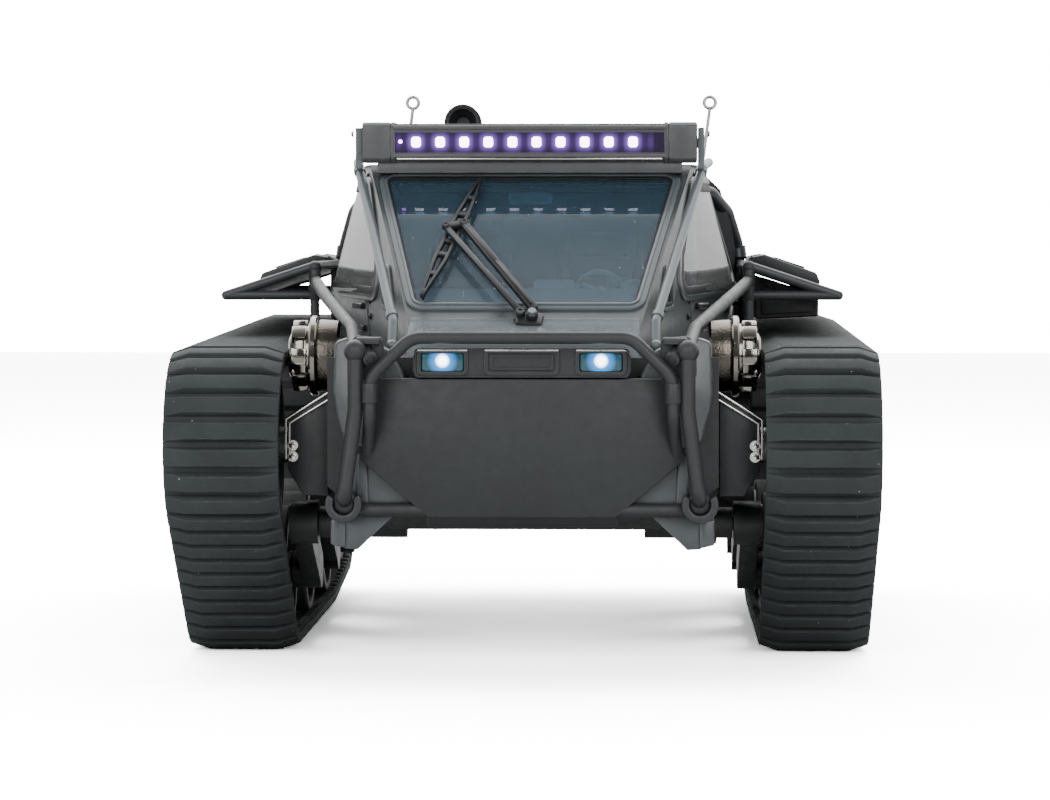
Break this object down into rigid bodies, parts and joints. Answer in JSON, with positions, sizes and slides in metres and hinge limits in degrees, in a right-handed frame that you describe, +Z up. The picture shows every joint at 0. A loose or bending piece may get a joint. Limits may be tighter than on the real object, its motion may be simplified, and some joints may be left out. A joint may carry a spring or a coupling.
{
  "type": "tracked radio-control car",
  "caption": "Tracked radio-control stunt car with a wedge cabin, sprung road wheels inside rubber belts, tube nose guard, light bar, wiper and hinged engine cowl.",
  "frame": {"origin": "middle of the footprint at the ground", "axes": "+Y towards the rear, the car faces -Y; +X is the car's left; +Z up"},
  "size_m": [0.27, 0.3999, 0.23],
  "materials": {
    "belt_rubber": "matte",
    "wheel": "matte",
    "arm": "satin",
    "sprocket": "satin",
    "dark_chrome": "polished",
    "tube": "satin",
    "fender": "satin",
    "glass": "tinted",
    "lamp": "clear",
    "seat": "matte",
    "motor": "satin",
    "whip": "satin",
    "hull": "satin",
    "armour": "matte",
    "body": "satin",
    "wiper": "matte",
    "trim": "matte",
    "cowl": "gloss",
    "electronics": "matte"
  },
  "bodies": {
    "chassis": {"track_belt_L": "belt_rubber", "idler_mount_L": "dark_chrome", "fork_L": "tube", "a_pillar_L": "tube", "fender_L": "fender", "side_window_L": "glass", "headlight_L": "lamp", "seat_L": "seat", "motor_L": "motor", "track_belt_R": "belt_rubber", "idler_mount_R": "dark_chrome", "fork_R": "tube", "a_pillar_R": "tube", "fender_R": "fender", "side_window_R": "glass", "headlight_R": "lamp", "seat_R": "seat", "motor_R": "motor", "hull": "hull", "deck": "hull", "armour_plate": "armour", "lamp_housing": "body", "hood": "body", "cabin": "body", "bull_bar": "tube", "rear_bumper": "tube", "windshield": "glass", "roof_nozzle": "trim", "dashboard": "trim", "battery": "electronics", "receiver": "electronics"},
    "sprocket_L": {"drive_sprocket_L": "sprocket"},
    "idler_L": {"idler_wheel_L": "wheel"},
    "arm_L_1": {"swing_arm_L_1": "arm"},
    "wheel_L_1": {"road_wheel_L_1": "wheel"},
    "arm_L_2": {"swing_arm_L_2": "arm"},
    "wheel_L_2": {"road_wheel_L_2": "wheel"},
    "arm_L_3": {"swing_arm_L_3": "arm"},
    "wheel_L_3": {"road_wheel_L_3": "wheel"},
    "arm_L_4": {"swing_arm_L_4": "arm"},
    "wheel_L_4": {"road_wheel_L_4": "wheel"},
    "sprocket_R": {"drive_sprocket_R": "sprocket"},
    "idler_R": {"idler_wheel_R": "wheel"},
    "arm_R_1": {"swing_arm_R_1": "arm"},
    "wheel_R_1": {"road_wheel_R_1": "wheel"},
    "arm_R_2": {"swing_arm_R_2": "arm"},
    "wheel_R_2": {"road_wheel_R_2": "wheel"},
    "arm_R_3": {"swing_arm_R_3": "arm"},
    "wheel_R_3": {"road_wheel_R_3": "wheel"},
    "arm_R_4": {"swing_arm_R_4": "arm"},
    "wheel_R_4": {"road_wheel_R_4": "wheel"},
    "lamp_bar": {"light_bar": "trim", "light_lens": "lamp"},
    "wiper": {"wiper_arm": "wiper", "wiper_blade": "wiper"},
    "cowl": {"rear_cowl": "cowl", "antenna_L": "whip", "antenna_R": "whip"},
    "switch": {"power_switch": "trim"}
  },
  "joints": [
    {"name": "sprocket_spin_L", "type": "hinge", "parent": "chassis", "child": "sprocket_L", "pos_m": [0.113, 0.159, 0.097], "axis": [1, 0, 0], "continuous": true},
    {"name": "idler_spin_L", "type": "hinge", "parent": "chassis", "child": "idler_L", "pos_m": [0.113, -0.156, 0.085], "axis": [1, 0, 0], "continuous": true},
    {"name": "arm_swing_L_1", "type": "hinge", "parent": "chassis", "child": "arm_L_1", "pos_m": [0.086, -0.141, 0.054], "axis": [1, 0, 0], "range_deg": [0, 8]},
    {"name": "wheel_spin_L_1", "type": "hinge", "parent": "arm_L_1", "child": "wheel_L_1", "pos_m": [0.113, -0.099, 0.032], "axis": [1, 0, 0], "continuous": true},
    {"name": "arm_swing_L_2", "type": "hinge", "parent": "chassis", "child": "arm_L_2", "pos_m": [0.086, -0.056, 0.054], "axis": [1, 0, 0], "range_deg": [0, 8]},
    {"name": "wheel_spin_L_2", "type": "hinge", "parent": "arm_L_2", "child": "wheel_L_2", "pos_m": [0.113, -0.014, 0.032], "axis": [1, 0, 0], "continuous": true},
    {"name": "arm_swing_L_3", "type": "hinge", "parent": "chassis", "child": "arm_L_3", "pos_m": [0.086, 0.029, 0.054], "axis": [1, 0, 0], "range_deg": [0, 8]},
    {"name": "wheel_spin_L_3", "type": "hinge", "parent": "arm_L_3", "child": "wheel_L_3", "pos_m": [0.113, 0.071, 0.032], "axis": [1, 0, 0], "continuous": true},
    {"name": "arm_swing_L_4", "type": "hinge", "parent": "chassis", "child": "arm_L_4", "pos_m": [0.086, 0.11, 0.05], "axis": [1, 0, 0], "range_deg": [0, 4]},
    {"name": "wheel_spin_L_4", "type": "hinge", "parent": "arm_L_4", "child": "wheel_L_4", "pos_m": [0.113, 0.152, 0.039], "axis": [1, 0, 0], "continuous": true},
    {"name": "sprocket_spin_R", "type": "hinge", "parent": "chassis", "child": "sprocket_R", "pos_m": [-0.113, 0.159, 0.097], "axis": [1, 0, 0], "continuous": true},
    {"name": "idler_spin_R", "type": "hinge", "parent": "chassis", "child": "idler_R", "pos_m": [-0.113, -0.156, 0.085], "axis": [1, 0, 0], "continuous": true},
    {"name": "arm_swing_R_1", "type": "hinge", "parent": "chassis", "child": "arm_R_1", "pos_m": [-0.086, -0.141, 0.054], "axis": [1, 0, 0], "range_deg": [0, 8]},
    {"name": "wheel_spin_R_1", "type": "hinge", "parent": "arm_R_1", "child": "wheel_R_1", "pos_m": [-0.113, -0.099, 0.032], "axis": [1, 0, 0], "continuous": true},
    {"name": "arm_swing_R_2", "type": "hinge", "parent": "chassis", "child": "arm_R_2", "pos_m": [-0.086, -0.056, 0.054], "axis": [1, 0, 0], "range_deg": [0, 8]},
    {"name": "wheel_spin_R_2", "type": "hinge", "parent": "arm_R_2", "child": "wheel_R_2", "pos_m": [-0.113, -0.014, 0.032], "axis": [1, 0, 0], "continuous": true},
    {"name": "arm_swing_R_3", "type": "hinge", "parent": "chassis", "child": "arm_R_3", "pos_m": [-0.086, 0.029, 0.054], "axis": [1, 0, 0], "range_deg": [0, 8]},
    {"name": "wheel_spin_R_3", "type": "hinge", "parent": "arm_R_3", "child": "wheel_R_3", "pos_m": [-0.113, 0.071, 0.032], "axis": [1, 0, 0], "continuous": true},
    {"name": "arm_swing_R_4", "type": "hinge", "parent": "chassis", "child": "arm_R_4", "pos_m": [-0.086, 0.11, 0.05], "axis": [1, 0, 0], "range_deg": [0, 4]},
    {"name": "wheel_spin_R_4", "type": "hinge", "parent": "arm_R_4", "child": "wheel_R_4", "pos_m": [-0.113, 0.152, 0.039], "axis": [1, 0, 0], "continuous": true},
    {"name": "light_bar_tilt", "type": "hinge", "parent": "chassis", "child": "lamp_bar", "pos_m": [0, -0.0865, 0.2024], "axis": [1, 0, 0], "range_deg": [-10, 10]},
    {"name": "wiper_sweep", "type": "hinge", "parent": "chassis", "child": "wiper", "pos_m": [0.003, -0.154, 0.12962], "axis": [0, -0.6425, 0.7663], "range_deg": [-45, 0]},
    {"name": "cowl_hinge", "type": "hinge", "parent": "chassis", "child": "cowl", "pos_m": [0, 0.0655, 0.195], "axis": [1, 0, 0], "range_deg": [0, 50]},
    {"name": "switch_slide", "type": "slide", "parent": "chassis", "child": "switch", "axis": [1, 0, 0], "range_m": [-0.0025, 0.0025]}
  ],
  "couplings": [
    {"joint": "idler_spin_L", "follows": "sprocket_spin_L", "ratio": 0.8125},
    {"joint": "wheel_spin_L_1", "follows": "sprocket_spin_L", "ratio": 1},
    {"joint": "wheel_spin_L_2", "follows": "sprocket_spin_L", "ratio": 1},
    {"joint": "wheel_spin_L_3", "follows": "sprocket_spin_L", "ratio": 1},
    {"joint": "wheel_spin_L_4", "follows": "sprocket_spin_L", "ratio": 1},
    {"joint": "idler_spin_R", "follows": "sprocket_spin_R", "ratio": 0.8125},
    {"joint": "wheel_spin_R_1", "follows": "sprocket_spin_R", "ratio": 1},
    {"joint": "wheel_spin_R_2", "follows": "sprocket_spin_R", "ratio": 1},
    {"joint": "wheel_spin_R_3", "follows": "sprocket_spin_R", "ratio": 1},
    {"joint": "wheel_spin_R_4", "follows": "sprocket_spin_R", "ratio": 1}
  ]
}
